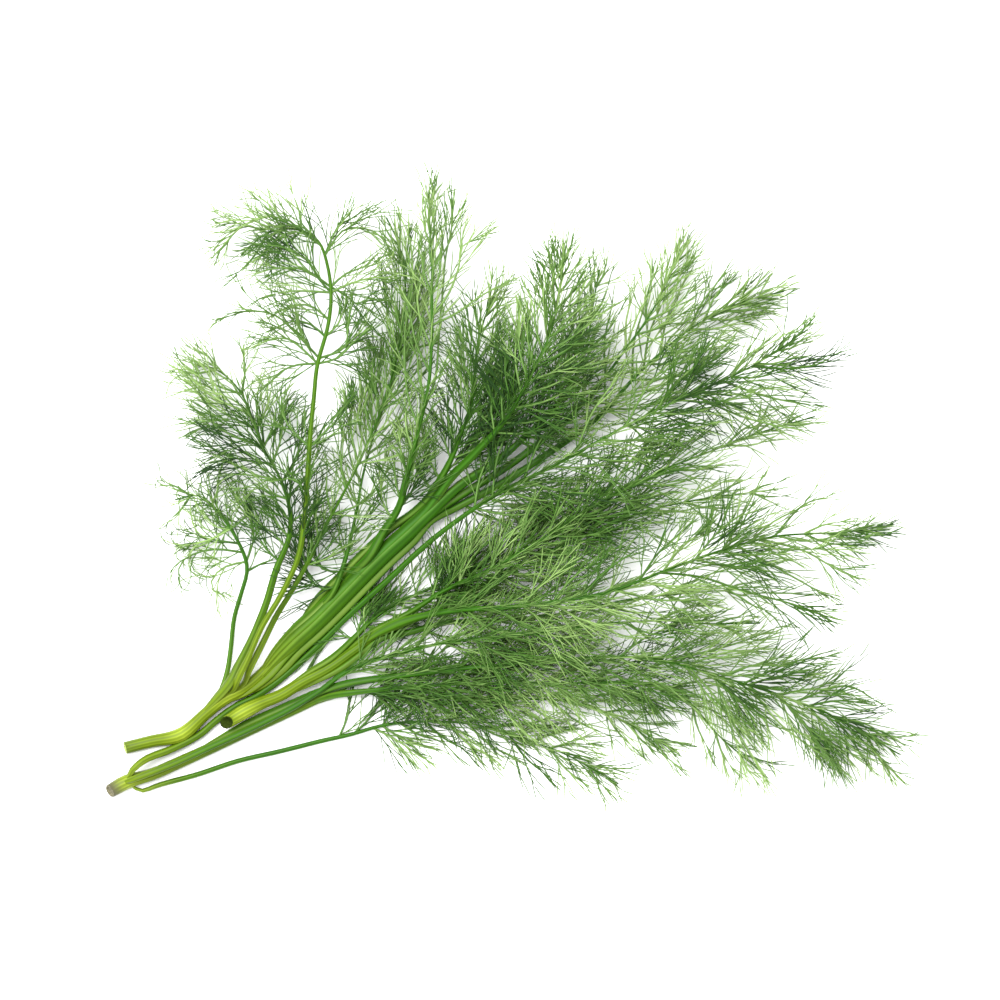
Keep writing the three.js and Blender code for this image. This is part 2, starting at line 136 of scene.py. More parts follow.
# Threads grow from the twigs
THREAD_STEP = 3.2
THREAD_RADIUS = 0.15
THREAD_TAPER = 0.85
THREAD_REACH = (0.22, 0.96)
THREADED_SHARE = 0.85  # how much of a twig has threads
THREAD_FAN = (18, 9)
THREAD_FAN_SPREAD = 5
THREAD_TURN_SPREAD = 32
THREAD_PULL = (0.1, 0.5)
THREAD_SAG = 0.06
THREAD_SHARES = (0.8, 0.3)  # its length beyond the shortest, as a share of its twig's
THREAD_UNEVENNESS = (0.75, 1.3)
SHORTEST_THREAD = 2.2
TWIG_MIDDLE = 0.6  # where on a twig its crowding is looked up
ROOT_POINT = 0.08  # where a shoot has its full thickness, as a share of its first step
SIDES = 4  # of a thread, twig or side branch
TABLE_GAP = 0.25  # the lowest that the middle of a thread lies
SAME_PLACE = 0.001  # corners this close are made one

# Tones run from 0, dark, to 1, pale
USUAL_TONE = 0.55
LEAF_TIP_TONE = 0.5
TONE_SPREAD = 0.12
# Painted shade: crowded foliage is coloured darker and thin foliage paler
CROWD_SHADE = 0.33
EVEN_CROWD = 1.12  # how crowded foliage is that is neither darker nor paler for it
SHADED_CROWDS = (0.7, 2)
TIP_PALENESS = 0.22  # what a thread gains from its root to its tip

# Finishes: the size of the blotches, and how much darker and brighter they are, as a share
LEAF_BLOTCH = 9
LEAF_MOTTLE = 0.25
STEM_BLOTCH = 5
STEM_MOTTLE = 0.2
VESSEL_SPACING = 0.5  # of the speckle on a cut end

# The flat map that the colours are baked on, one unit wide and high
FLAT_MAP = "OFBake"
STEM_MAP_SIDE = 0.98  # how much of the width a stem's skin takes
STALK_MAP_SIDE = 0.14  # and a leafstalk's, with the threads to the right of it
END_MAP_SHARE = 0.12  # how much of that the ends take
MAP_GAP = 0.01
STRIP_SLENDERNESS = 3  # a thread's place on the map is this many times as high as it is wide
STRIP_WIDTH = (0.2, 0.8)  # what the thread takes of it
STRIP_HEIGHT = (0.1, 0.9)
LEVEL_ENOUGH = 0.001  # the height of an end face, in column heights

USUAL_CROWD = 0.9
THINNEST_CROWD = 0.25
# Patches of crowded foliage, or of thin foliage below 0: x, y, radius and by how much
CLUMPS = [
  (5, 8, 50, 0.5), (-3, 24, 15, 0.9), (-2, -2, 16, 0.6), (20, 45, 14, 0.4), (50, 28, 10, 1.9),
  (47, 9, 10, 0.8), (28, -6, 14, 0.9), (70, 55, 9, 0.6), (-8, -54, 13, 0.9), (-24, -63, 9, 0.8),
  (44, -55, 10, 0.8), (70, -60, 7, 1.4), (88, -57, 6, 0.9), (103, -66, 7, 1), (92, -69, 8, 1),
  (-35, 37, 11, 0.7), (-16, 8, 8, 1.2), (-73, 14, 9, 1.8), (-81, -5, 6, 1.1), (-38, 58, 8, 0.9),
  (84, 34, 12, 0.9), (82, 28, 10, 0.3), (66, -21, 7, 1.5), (86, -29, 8, 0.8), (96, -33, 6, -0.8),
  (58, -12, 7, 1.6), (100, -20, 7, 0.8), (-56, 47, 9, 0.8), (-62, -5, 6, 1.2), (-63, -15, 6, 1.8),
  (-43, -40, 8, 1.2), (-48, -41, 6, 2.4), (-38, -64, 9, 0.8), (93, -80, 6, 0.6), (-19, -26, 8, 1.2),
  (-58, -27, 6, 2.4), (58, 48, 8, 0.5), (40, 16, 7, 1.6), (46, 33, 7, 0.7), (-53, 24, 9, 1.3),
  (-38, -72, 7, 1), (26, -62, 8, 0.4), (-34, -5, 6, 1), (-14, -11, 6, 1.4), (-60, 71, 7, 1.2),
  (-14, 78, 8, 0.6), (40, 64, 7, 0.8), (10, 64, 6, 0.6), (-41, -11, 6, 1), (1, -3, 5, 1.2),
  (20, -77, 6, 0.7), (45, -45, 6, 0.8), (81, -31, 7, 0.9), (12, -57, 8, 0.7), (-20, 34, 5, -1.4),
  (-20, 45, 7, -1.5), (-19, 54, 6, -1.3), (29, 50, 8, -1.4), (35, 34, 9, -1.8), (-31, -20, 6, -1.8),
  (-35, -29, 5, -1), (-23, -28, 5, 0.8), (-22, 25, 7, -0.8), (-31, 19, 7, -1.1), (-28, 34, 6, -0.6),
  (-37, 46, 6, -0.6), (5, 49, 7, -0.6), (28, -74, 6, -0.5), (72, -36, 9, -0.8), (33, -41, 7, -1.3),
  (35, -20, 6, -1), (-95, 36, 9, -0.5), (-5, 59, 6, -0.6), (47, -4, 8, -1), (80, -2, 10, -0.9),
  (52, -67, 7, -0.9), (87, 21, 8, -1.5), (-35, 74, 8, -0.6), (-66, 25, 6, -1.8), (-76, 68, 6, -1.1),
  (-99, -4, 7, -0.4), (-88, 12, 5, -0.4), (79, 59, 8, -0.7), (102, -58, 7, -1.8),
  (86, -51, 6, -0.5), (77, -70, 7, -1.9), (73, -85, 6, -0.6), (-65, 88, 7, -0.6),
  (-73, -3, 5, -0.9), (56, 42, 6, -0.7), (54, 18, 7, -1.1), (-4, -11, 6, -1.9), (21, -69, 6, -1.8),
  (-25, -74, 7, -0.7), (25, 68, 8, -0.8), (-22, 91, 5, -0.6), (-51, -9, 6, -1.2), (-42, 2, 7, -0.8),
  (-56, 6, 5, -0.8), (-62, 50, 5, -0.8), (25, 18, 8, -0.7), (4, -60, 6, -0.8), (34, -26, 6, -0.6),
  (102, -80, 6, -0.7), (-84, 83, 5, -0.4), (-80, 76, 6, 1.2), (59, -29, 6, -1), (80, -20, 7, -1.4),
  (69, -6, 7, -1.5),
]
# Patches of pale foliage, or of dark foliage below 0, in the same way
PALE_PATCHES = [
  (72, 55, 10, 0.1), (45, 65, 16, 0.15), (50, 28, 10, -0.2), (0, 20, 16, -0.12),
  (-22, 78, 12, 0.15), (32, 44, 14, 0.3), (52, -67, 10, 0.15), (78, -80, 8, 0.15),
  (-92, 36, 14, 0.1), (5, 47, 9, 0.15), (3, -64, 12, 0.12), (10, -46, 14, 0.12), (-18, 48, 8, 0.2),
  (-64, 86, 8, 0.2), (45, -4, 9, 0.12), (-62, -9, 10, -0.2), (60, -28, 12, 0.12),
  (-14, 14, 9, -0.12), (28, 22, 10, 0.12),
]

# A stem's route starts at its cut end. `cut` is how deep that is, `dry` how dry and `slant` how far
# from square; `nodes` are the shares of its length where leaves part from it, and `clasp` is how much
# broader the roots of its leaves are than high.
STEMS = [
  dict(
    name="stem_1", cut=PITH_DEPTH, clasp=0.3, slant=0.3, dry=0.2, nodes=[0.14, 0.28],
    route=[
      [-115, -78, 1.8], [-107, -76, 1.8], [-98, -74, 1.9], [-91, -68, 2], [-85, -63, 2.2],
      [-79, -60, 2.2], [-73, -55, 2.1], [-67, -48, 2.1], [-57, -39, 2.4], [-48, -30, 3],
      [-38, -20, 4], [-27, -10, 5.5], [-18, -1, 7.5],
    ],
  ),
  dict(
    name="stem_2", cut=PITH_DEPTH, clasp=0.2, slant=0.6, dry=1, nodes=[0.06],
    route=[
      [-119.5, -91, 2.2], [-114, -88, 2.2], [-107, -86, 2.1], [-100, -83, 2], [-89, -78, 2],
      [-76, -72, 2], [-65, -67, 2], [-54, -62, 2.2], [-48, -60, 2.6],
    ],
  ),
  dict(
    name="stem_3", cut=HOLLOW_DEPTH, clasp=0.2, slant=1.1, dry=0, nodes=[0.1],
    route=[
      [-84, -70, 6], [-78, -66.4, 5.8], [-73, -64, 5.2], [-67.6, -61.8, 4.8], [-61.4, -58, 4.4],
      [-53.4, -53.8, 4.2], [-45.6, -48.4, 4.4], [-38, -43, 5], [-31, -40, 6],
    ],
  ),
]

# A leaf's route goes along its stalk, from where that parts from the stem, and along its midrib, which
# starts `blade` of the way. Its side branches have these lengths to the left and right and go off at
# the first `fan` angle near the stalk and the last at the tip. More are `drawn` through level places.
#   radius    of the stalk
#   hug       how far down the stem its root starts
#   lie       the side of the stem that the root is on: 0 to the left, 90 on top, 180 to the right
#   away      how far the root stands off the stem before it parts
#   greening  length over which the stalk turns green
#   full      how closely twigs and threads grow
#   long      how long the threads are, as full is a share of the usual
#   curl      how far the threads curl
#   light     what is added to its tone
#   cover     the shares of the route between which twigs hide it
USUAL_LEAF = dict(away=0, greening=45, full=1, long=1, curl=14, light=0, drawn=[])
LEAVES = [
  dict(
    name="leaf_1a", radius=0.75, blade=0.7, hug=9, fan=[85, 45], curl=80,
    left=[14, 10], right=[8, 9],
    drawn=[
      [(-78, -25), (-73, -22), (-69, -21)],
      [(-81, -20), (-87, -18), (-93, -19), (-98, -22), (-99, -27)],
      [(-82, -17), (-89, -15), (-95, -13)],
      [(-79, -22), (-84, -23), (-88, -26), (-89, -30), (-85, -31)],
      [(-84, -12), (-87, -14), (-92, -17), (-96, -17)],
      [(-78, -22), (-76, -14), (-78, -7), (-82, -2)],
      [(-80, -17), (-83, -11), (-87, -6), (-92, -4)],
    ],
    route=[
      [-86, -61, 4.8], [-84, -55, 3.4], [-83, -48, 2.6], [-82, -39, 2.6], [-80, -32, 3],
      [-78, -24, 3.4], [-80, -17, 4], [-85, -9, 4], [-92, -2, 3], [-100, -3, 0.4],
    ],
  ),
  dict(
    name="leaf_1b", radius=1.2, blade=0.42, hug=12, fan=[60, 35], curl=35, long=1.4, greening=110,
    left=[8, 12, 22, 24, 20, 12], right=[12, 16, 16, 14, 12, 8],
    drawn=[
      [(-66, -17), (-70, -13), (-75, -10), (-79, -5)],
      [(-68, -22), (-72, -18), (-75, -13)],
    ],
    route=[
      [-83, -58, 6], [-80, -52, 5], [-76, -44, 5], [-72, -34, 5.6], [-69, -24, 6.5],
      [-65, -14, 7.5], [-65, -5, 8.5], [-68, 4, 9], [-73, 13, 9], [-77, 24, 8.5], [-81, 31, 7],
      [-87, 36, 4], [-94, 38, 0.4],
    ],
  ),
  dict(
    name="leaf_1c", radius=0.85, blade=0.86, hug=11, fan=[62, 40],
    curl=35, greening=240, cover=(0.27, 0.38),
    left=[12, 16], right=[12, 14],
    drawn=[
      [(-60, 0), (-63, 3), (-67, 3)],
      [(-59, 12), (-63, 17), (-66, 21), (-67, 25)],
      [(-58, 12), (-54, 17), (-50, 21), (-48, 25)],
      [(-56, 37), (-62, 43), (-66, 45), (-73, 44)],
      [(-56, 39), (-63, 47), (-69, 52), (-77, 53), (-84, 51)],
      [(-56, 37), (-62, 37), (-67, 35), (-71, 31)],
      [(-56, 37), (-50, 39), (-46, 43), (-43, 46)],
      [(-55, 38), (-48, 42), (-47, 49), (-46, 57)],
      [(-52, 59), (-56, 63), (-59, 68), (-66, 72), (-74, 73)],
      [(-52, 60), (-59, 65), (-66, 66), (-74, 65)],
      [(-52, 58), (-59, 59), (-64, 59), (-69, 58)],
      [(-52, 59), (-47, 61), (-40, 63), (-34, 63)],
      [(-52, 60), (-48, 58), (-44, 55), (-40, 58)],
      [(-52, 60), (-48, 64), (-43, 66), (-39, 68)],
      [(-55, 73), (-62, 77), (-68, 75), (-73, 70)],
      [(-56, 74), (-60, 78), (-65, 79), (-71, 78)],
      [(-54, 70), (-51, 77), (-48, 80), (-43, 82)],
      [(-54, 69), (-49, 77), (-43, 78), (-38, 76), (-34, 71)],
      [(-54, 45), (-58, 49), (-63, 50), (-69, 48)],
      [(-53, 50), (-57, 54), (-62, 55), (-68, 53)],
      [(-54, 45), (-50, 49), (-48, 54)],
      [(-62, 78), (-70, 82), (-79, 79), (-86, 72)],
    ],
    route=[
      [-80, -56, 8.8], [-77, -50, 9], [-73, -41, 9.4], [-67, -31, 10.4], [-62, -20, 12.4],
      [-60, -8, 14.4], [-59, 5, 16], [-58, 18, 17], [-57, 28, 17.6], [-56, 37, 18], [-53, 48, 17.8],
      [-52, 57, 17], [-53, 66, 15.4], [-56, 74, 13], [-63, 78, 9.6], [-72, 77, 5.4], [-80, 71, 0.4],
    ],
  ),
  dict(
    name="leaf_1d", radius=0.9, blade=0.24, hug=10, fan=[45, 25], greening=110,
    left=[7, 14, 20, 18, 16, 12, 8], right=[12, 16, 18, 18, 16, 12, 8],
    route=[
      [-77, -54, 6], [-73, -46, 6], [-69, -38, 6.4], [-64, -30, 7.4], [-59, -21, 8.6],
      [-54, -11, 10], [-48, 0, 11.4], [-43, 10, 12], [-38, 22, 12.4], [-34, 34, 12.4],
      [-31, 48, 12], [-30, 61, 10], [-32, 73, 7], [-36, 82, 3],
    ],
  ),
  dict(
    name="leaf_1e", radius=1.3, blade=0.16, hug=48, fan=[34, 14], lie=15, long=0.95, greening=45,
    left=[10, 14, 18, 18, 14, 9, 6], right=[8, 7, 7, 10, 12, 9, 6],
    drawn=[
      [(-22, 49), (-15, 52), (-8, 57), (-1, 61)],
      [(-25, 22), (-21, 33), (-20, 45), (-19, 57), (-18, 69), (-16, 79), (-16, 86)],
      [(-26, 18), (-29, 27), (-30, 36), (-30, 48), (-28, 59), (-28, 69), (-29, 77)],
      [(-22, 51), (-17, 58), (-14, 66), (-13, 72), (-8, 75)],
      [(-33, -7), (-29, -2), (-26, 4), (-24, 10)],
      [(-34, -9), (-37, -4), (-37.5, 2), (-36.5, 9)],
    ],
    route=[
      [-41, -20, 7.5], [-37, -13, 8.6], [-32, -5, 11], [-29, 6, 15], [-26, 18, 18.5],
      [-23, 31, 20.5], [-22, 45, 21], [-22, 57, 20], [-22, 69, 17], [-23, 81, 10], [-22, 92, 0.4],
    ],
  ),
  dict(
    name="leaf_1f", radius=1.1, blade=0.2, hug=62, fan=[45, 25], lie=5, away=2.1, greening=50,
    left=[10, 14, 16, 14, 10, 6], right=[12, 16, 16, 14, 10, 6],
    drawn=[
      [(-22, 0), (-26, 5), (-29, 12), (-30, 20)],
      [(-20, 3), (-23, 9), (-25, 16), (-25, 23)],
      [(-19, 5), (-13, 10), (-9, 15), (-6, 21)],
    ],
    route=[
      [-23, -2, 8.6], [-18, 6, 11], [-14, 15, 14], [-10, 27, 16.4], [-9, 39, 17], [-7, 49, 16],
      [-3, 60, 13],
    ],
  ),
  dict(
    name="leaf_1g", radius=1.1, blade=0.25, hug=78, fan=[50, 28], lie=70, greening=60,
    left=[16, 18, 20, 18, 14, 10, 6], right=[16, 18, 20, 18, 14, 10, 6],
    drawn=[
      [(-10, 10), (-6, 17), (-5, 24), (-4, 31)],
    ],
    route=[
      [-17, 3, 10.4], [-9, 11, 15], [0, 21, 20], [7, 33, 24], [13, 46, 24.5], [16, 60, 21],
      [17, 72, 15],
    ],
  ),
  dict(
    name="leaf_1h", radius=1.2, blade=0.3, hug=80, fan=[42, 22], lie=125, full=0.9, greening=60,
    left=[14, 18, 18, 14, 10, 6], right=[14, 18, 18, 16, 12, 7],
    route=[
      [-14, 1, 8], [-2, 9, 11.5], [10, 20, 13.4], [19, 31, 13.6], [24, 43, 13], [26, 55, 11],
      [28, 66, 7],
    ],
  ),
  dict(
    name="leaf_1i", radius=1.15, blade=0.34, hug=92, fan=[46, 24],
    lie=172, full=0.8, light=0.05, greening=60,
    left=[16, 20, 22, 18, 14, 10, 6], right=[16, 20, 22, 20, 16, 10, 6],
    route=[
      [-14, -2, 5.4], [2, 8, 8], [16, 19, 9], [27, 30, 9.4], [35, 41, 9.2], [43, 52, 8],
      [49, 64, 6], [55, 75, 2.6],
    ],
  ),
  dict(
    name="leaf_1j", radius=1.1, blade=0.45, hug=88, fan=[46, 22],
    lie=188, away=1.8, full=0.75, light=0.08, greening=60,
    left=[20, 24, 22, 18, 12, 7], right=[18, 22, 20, 16, 12, 7],
    drawn=[
      [(-9, -2), (-4, -3), (2, -5), (8, -5)],
      [(-13, -4), (-9, -7), (-3, -9), (3, -10)],
      [(-3, 1), (4, 0), (11, 0), (18, 2)],
    ],
    route=[
      [-15, -5.5, 3.8], [-2, 1.5, 4.2], [13, 11, 5], [28, 22, 5.4], [40, 35, 5.6], [55, 48, 5],
      [70, 56, 3], [84, 60, 0.4],
    ],
  ),
  dict(
    name="leaf_1k", radius=0.8, blade=0.12, hug=30, fan=[42, 25], lie=0,
    left=[8, 13, 16, 14, 10, 6], right=[7, 12, 16, 14, 12, 8],
    drawn=[
      [(-51, -29), (-55, -30), (-59, -27), (-62, -21)],
      [(-50, -24), (-55, -24), (-58, -19), (-59, -13)],
    ],
    route=[
      [-52, -31, 6.4], [-48, -20, 6.6], [-45, -7, 7], [-43, 4, 7.6], [-40, 15, 8], [-36, 27, 8],
      [-32, 39, 7.6], [-28, 51, 6.6], [-25, 62, 5],
    ],
  ),
  dict(
    name="leaf_2a", radius=1.1, blade=0.52, hug=5, fan=[46, 22],
    full=0.75, light=0.08, greening=90,
    left=[18, 24, 28, 26, 22, 16, 10], right=[20, 24, 26, 24, 20, 14, 8],
    drawn=[
      [(64, 31), (76, 28), (85, 26), (92, 25)],
      [(55, 27), (69, 22), (80, 19), (86, 18)],
      [(74, 37), (84, 36), (92, 37), (98, 40)],
    ],
    route=[
      [-112, -84, 5.4], [-108, -81, 4], [-101, -78.4, 2.6], [-93, -74.4, 1.6], [-87.5, -69.8, 1.5],
      [-81.4, -65.4, 1.5], [-74.6, -62, 1.5], [-66, -55.6, 1.5], [-55.4, -45.8, 1.7], [-46.8, -37.4, 2.6],
      [-34.4, -26.2, 5], [-24.4, -17, 8], [-15, -9.6, 11], [-2, -1, 15.6], [16, 8, 19], [34, 18, 20.6],
      [52, 27, 20], [70, 35, 17], [85, 44, 11], [93, 52, 5],
    ],
  ),
  dict(
    name="leaf_2b", radius=1, blade=0.38, hug=5, fan=[40, 22],
    full=0.85, cover=(0.33, 0.93), greening=60,
    left=[6, 18, 22, 20, 18, 14, 9], right=[10, 13, 20, 20, 18, 14, 9],
    drawn=[
      [(-46, -54), (-40, -51), (-35, -50), (-29, -46)],
      [(-50, -56), (-44, -54.5), (-38, -53), (-32, -52)],
    ],
    route=[
      [-112, -87, 5.6], [-100, -82.4, 5.3], [-89, -77.4, 5.2], [-77, -72, 5.1], [-65, -66, 5],
      [-56, -60.5, 5], [-47, -54.2, 6.4], [-32, -49, 9], [-14, -45, 15.2], [7, -43, 18.4],
      [28, -40, 18.6], [46, -39, 17.6], [61, -40, 15], [76, -40, 10],
    ],
  ),
  dict(
    name="leaf_2c", radius=0.8, blade=0.5, hug=5, fan=[45, 30],
    left=[14, 18, 16, 14, 12, 8], right=[14, 16, 16, 16, 14, 8],
    drawn=[
      [(-50, -75), (-48, -69), (-47, -64)],
      [(-46, -74), (-42, -70), (-39, -66), (-37, -62)],
      [(-40, -73), (-36, -74), (-31, -77), (-27, -80)],
    ],
    route=[
      [-110, -91, 1.2], [-104, -89, 1.1], [-93, -86, 1.1], [-81, -82, 1.1], [-68, -79, 1.1],
      [-56, -76, 1.1], [-47, -74, 1.2], [-36, -71, 1.4], [-23, -70, 1.8], [-9, -71, 2],
      [4, -75, 1.8], [18, -80, 1.2], [34, -89, 0.4],
    ],
  ),
  dict(
    name="leaf_2d", radius=1.1, blade=0.12, hug=48, lie=15, fan=[42, 30],
    cover=(0.03, 0.93),
    left=[12, 18, 20, 18, 24, 18, 16, 12], right=[3, 14, 26, 30, 30, 30, 26, 15],
    drawn=[
      [(55, -54), (64, -64), (72, -77), (78, -87)],
      [(81, -60), (88, -68), (95, -78), (101, -84)],
      [(88, -61), (102, -59), (112, -64)],
      [(49, -49), (69, -46), (82, -41)],
      [(72, -57), (85, -52), (97, -50)],
      [(62, -55), (68, -61), (73, -67), (76, -73)],
    ],
    route=[
      [-46, -58, 5], [-32, -56, 7], [-17, -54, 9.6], [4, -52, 10.9], [29, -50, 12.6],
      [46, -51, 12.6], [64, -56, 11], [80, -61, 8], [98, -68, 4.4], [119, -80, 0.4],
    ],
  ),
  dict(
    name="leaf_2e", radius=0.8, blade=0.06, hug=14, fan=[45, 30], cover=(0.02, 0.93),
    left=[12, 16, 16, 14, 10, 6], right=[6, 14, 22, 20, 14, 8],
    route=[
      [-45, -61, 2], [-32, -62, 3.2], [-14, -63, 4.4], [4, -63, 5], [21, -64, 5], [34, -69, 3.6],
      [51, -79, 0.4],
    ],
  ),
  dict(
    name="leaf_2f", radius=0.8, blade=0.12, hug=15, fan=[42, 28], cover=(0.02, 0.93),
    left=[7, 15, 18, 16, 12, 8], right=[12, 18, 20, 18, 14, 8],
    route=[
      [-46, -61, 7.4], [-26, -59, 7.4], [-2, -58, 8.4], [22, -58, 9], [40, -58, 8.4],
      [54, -63, 6.6], [64, -74, 4], [78, -86, 0.4],
    ],
  ),
  dict(
    name="leaf_3a", radius=1.1, blade=0.12, hug=16, fan=[44, 20], cover=(0.04, 0.93),
    left=[16, 20, 22, 20, 22, 18, 12, 7], right=[16, 20, 24, 26, 24, 20, 14, 8],
    drawn=[
      [(45, -24), (58, -26), (70, -30), (85, -34), (96, -38)],
      [(76, -15), (88, -18), (97, -23), (103, -26)],
      [(79, -12), (88, -5), (96, -2)],
      [(64, -17), (71, -6), (75, 2)],
      [(68, -17), (78, -22), (87, -27), (94, -31)],
    ],
    route=[
      [-29, -39, 8.6], [-15, -36, 14], [0, -35, 19.6], [16, -33, 23.4], [31, -30, 24.6],
      [47, -24, 24], [64, -18, 21], [80, -14, 16], [97, -13, 9], [115, -12, 0.4],
    ],
  ),
  dict(
    name="leaf_3b", radius=0.9, blade=0.06, hug=20, fan=[40, 20], full=0.75, light=0.05,
    left=[14, 17, 20, 20, 16, 12, 7], right=[14, 18, 20, 18, 16, 12, 8],
    drawn=[
      [(-14, -28), (-13, -21), (-9, -15), (-3, -10)],
      [(-17, -29), (-17, -22), (-14, -17), (-9, -12)],
      [(-4, -23), (-2, -16), (4, -11), (11, -8)],
    ],
    route=[
      [-29, -37, 6.4], [-18, -30, 9], [-3, -23, 13.6], [12, -14, 16], [28, -4, 16.6], [45, 5, 16],
      [60, 11, 14], [76, 17, 10], [93, 22, 4],
    ],
  ),
  dict(
    name="leaf_3c", radius=0.9, blade=0.06, hug=18, fan=[40, 20], full=0.8, light=0.05,
    left=[14, 18, 20, 18, 14, 9], right=[14, 18, 20, 18, 14, 10],
    route=[
      [-27, -39, 4.4], [-15, -33, 6.4], [1, -24, 9.4], [21, -15, 12], [40, -7, 12.6], [58, -3, 11],
      [81, 0, 6],
    ],
  ),
  dict(
    name="leaf_3d", radius=1.1, blade=0.04, hug=40, lie=190, fan=[40, 22], full=0.8,
    left=[12, 16, 18, 16, 12, 8], right=[12, 16, 18, 16, 12, 8],
    route=[
      [-29, -43, 4], [-17, -40, 4.4], [1, -39, 6.4], [19, -37, 8], [37, -33, 9], [55, -31, 8],
      [73, -30, 4],
    ],
  ),
  dict(
    name="leaf_3e", radius=1, blade=0.06, hug=26, lie=10, fan=[48, 28],
    left=[8, 10, 12, 12, 12, 9, 6], right=[10, 12, 14, 14, 12, 9, 6],
    drawn=[
      [(-45, -44), (-44, -40), (-41, -36.5), (-37, -33.5)],
      [(-43, -42), (-42, -37), (-38, -32), (-34, -28)],
      [(-46, -45), (-51, -44), (-55, -47), (-58, -51)],
    ],
    route=[
      [-46, -45, 3], [-39, -38, 2.6], [-30, -33, 2.4], [-16, -27, 3], [0, -21, 3.6], [14, -15, 4],
      [28, -9, 4],
    ],
  ),
]


class Path:
    """A line through points, walked by share of its length from 0 to 1."""

    def __init__(self, points):
        self.points = points
        self.walked = [0.0]
        for here, there in zip(points, points[1:]):
            self.walked.append(self.walked[-1] + (there - here).length)
        self.length = self.walked[-1]

    def stretch(self, share):
        """The step that a share falls in, and how far along that step it is."""
        walked = share * self.length
        first = min(max(bisect_right(self.walked, walked) - 1, 0), len(self.points) - 2)
        return first, (walked - self.walked[first]) / (self.walked[first + 1] - self.walked[first])

    def place(self, share):
        first, part = self.stretch(share)
        return self.points[first].lerp(self.points[first + 1], part)

    def heading(self, share):
        first, _ = self.stretch(share)
        return (self.points[first + 1] - self.points[first]).normalized()


def nearest_share(path, distance):
    """Where along a path the distance from its place is least."""
    shares = (i / SEARCH_STEPS for i in range(SEARCH_STEPS + 1))
    return min(shares, key=lambda share: distance(path.place(share)))


def smooth_path(route, steps):
    """The path of a smooth curve through the route's points, with steps from each to the next."""
    points = [Vector(point) for point in route]
    knots = [2 * points[0] - points[1], *points, 2 * points[-1] - points[-2]]
    line = [points[0]]
    for before, here, there, after in zip(knots, knots[1:], knots[2:], knots[3:]):
        line += interpolate_bezier(
            here, here + (there - before) / 6, there - (after - here) / 6, there, steps + 1
        )[1:]
    return Path(line)


def mix(first, second, share):
    return first + (second - first) * share


def swelling(distance, length):
    return exp(-((distance / length) ** 2))


def level_left(heading):
    """The level direction to the left of a heading."""
    return UP.cross(heading).normalized()


def outwards(heading, turn):
    """Square to a heading: to its left at a turn of 0 degrees, up at 90 and to its right at 180."""
    left = level_left(heading)
    return left * cos(radians(turn)) + heading.cross(left) * sin(radians(turn))


# Strands: side branches, twigs and threads

# One strand: its points, its radius at each, and the tone of its colour
Strand = namedtuple("Strand", "points radii tone")


def shoot(start, heading, turn, fan, length, pull, curl, sag):
    """The points of a shoot that leaves a heading by the fan angle, leans back to it, curls and sags."""
    ahead = heading * cos(fan) + outwards(heading, turn) * sin(fan)
    points = [start]
    for step in range(1, SHOOT_STEPS + 1):
        share = step / SHOOT_STEPS
        towards = ahead.lerp(heading, pull * share).normalized()
        towards.rotate(Quaternion(UP, radians(curl * share)))
        towards.z -= sag * share
        place = points[-1] + towards * (length / SHOOT_STEPS)
        place.z = max(place.z, TABLE_GAP)
        points.append(place)
    return points


def tapering(points, base, tip):
    """Radii along a strand that is closed to a point at both ends."""
    last = len(points) - 1
    return [0] + [mix(base, tip, i / last) for i in range(1, last)] + [0]


def with_root(points):
    """The points with one more close to the first, where the strand has its full thickness."""
    return [points[0], points[0].lerp(points[1], ROOT_POINT)] + points[1:]


def patchiness(patches, place):
    """What the patches come to at a place. Each fades away from its middle."""
    return sum(
        by * exp(-((place.x - x) ** 2 + (place.y - y) ** 2) / radius**2)
        for x, y, radius, by in patches
    )


def crowding(place):
    """How many times as close as usual the twigs and threads grow at a place."""
    return max(USUAL_CROWD + patchiness(CLUMPS, place), THINNEST_CROWD)


def painted_shade_and_pale_patches(place):
    """What is added to a tone at a place: painted shade, darker in a crowd and paler where foliage is
    thin, and the pale and dark patches.
    """
    low, high = SHADED_CROWDS
    crowd = min(max(crowding(place), low), high)
    return CROWD_SHADE * (EVEN_CROWD - crowd) + patchiness(PALE_PATCHES, place)


def threads_on(dice, twig, leaf, tone):
    """The threads of a twig, on its two sides in turn."""
    strands = []
    closeness = leaf["full"] * crowding(twig.place(TWIG_MIDDLE)) ** 0.5
    count = max(round(twig.length * THREADED_SHARE * closeness / THREAD_STEP), 1)
    side = dice.choice((0, 180))
    for i in range(count + 1):
        share = mix(*THREAD_REACH, i / count)
        turn = side + dice.gauss(0, THREAD_TURN_SPREAD)
        side = 180 - side
        fan = radians(mix(*THREAD_FAN, share) + dice.gauss(0, THREAD_FAN_SPREAD))
        length = SHORTEST_THREAD + twig.length * mix(*THREAD_SHARES, share)
        length *= dice.uniform(*THREAD_UNEVENNESS) * leaf["long"]
        curl = dice.gauss(0, leaf["curl"])
        pull = dice.uniform(*THREAD_PULL)
        points = with_root(shoot(
            twig.place(share), twig.heading(share), turn, fan, length, pull, curl, THREAD_SAG
        ))
        radii = tapering(points, THREAD_RADIUS, THREAD_RADIUS * THREAD_TAPER)
        strands.append(Strand(points, radii, tone + dice.gauss(0, TONE_SPREAD)))
    return strands


def twig_on(dice, place, heading, turn, fan, length, leaf, tone):
    """A twig with its threads."""
    curl = dice.gauss(0, TWIG_CURL * leaf["curl"])
    points = shoot(place, heading, turn, fan, length, dice.uniform(*TWIG_PULL), curl, TWIG_SAG)
    rooted = with_root(points)
    strand = Strand(rooted, tapering(rooted, TWIG_RADIUS, THREAD_RADIUS), tone)
    return [strand] + threads_on(dice, Path(points), leaf, tone)


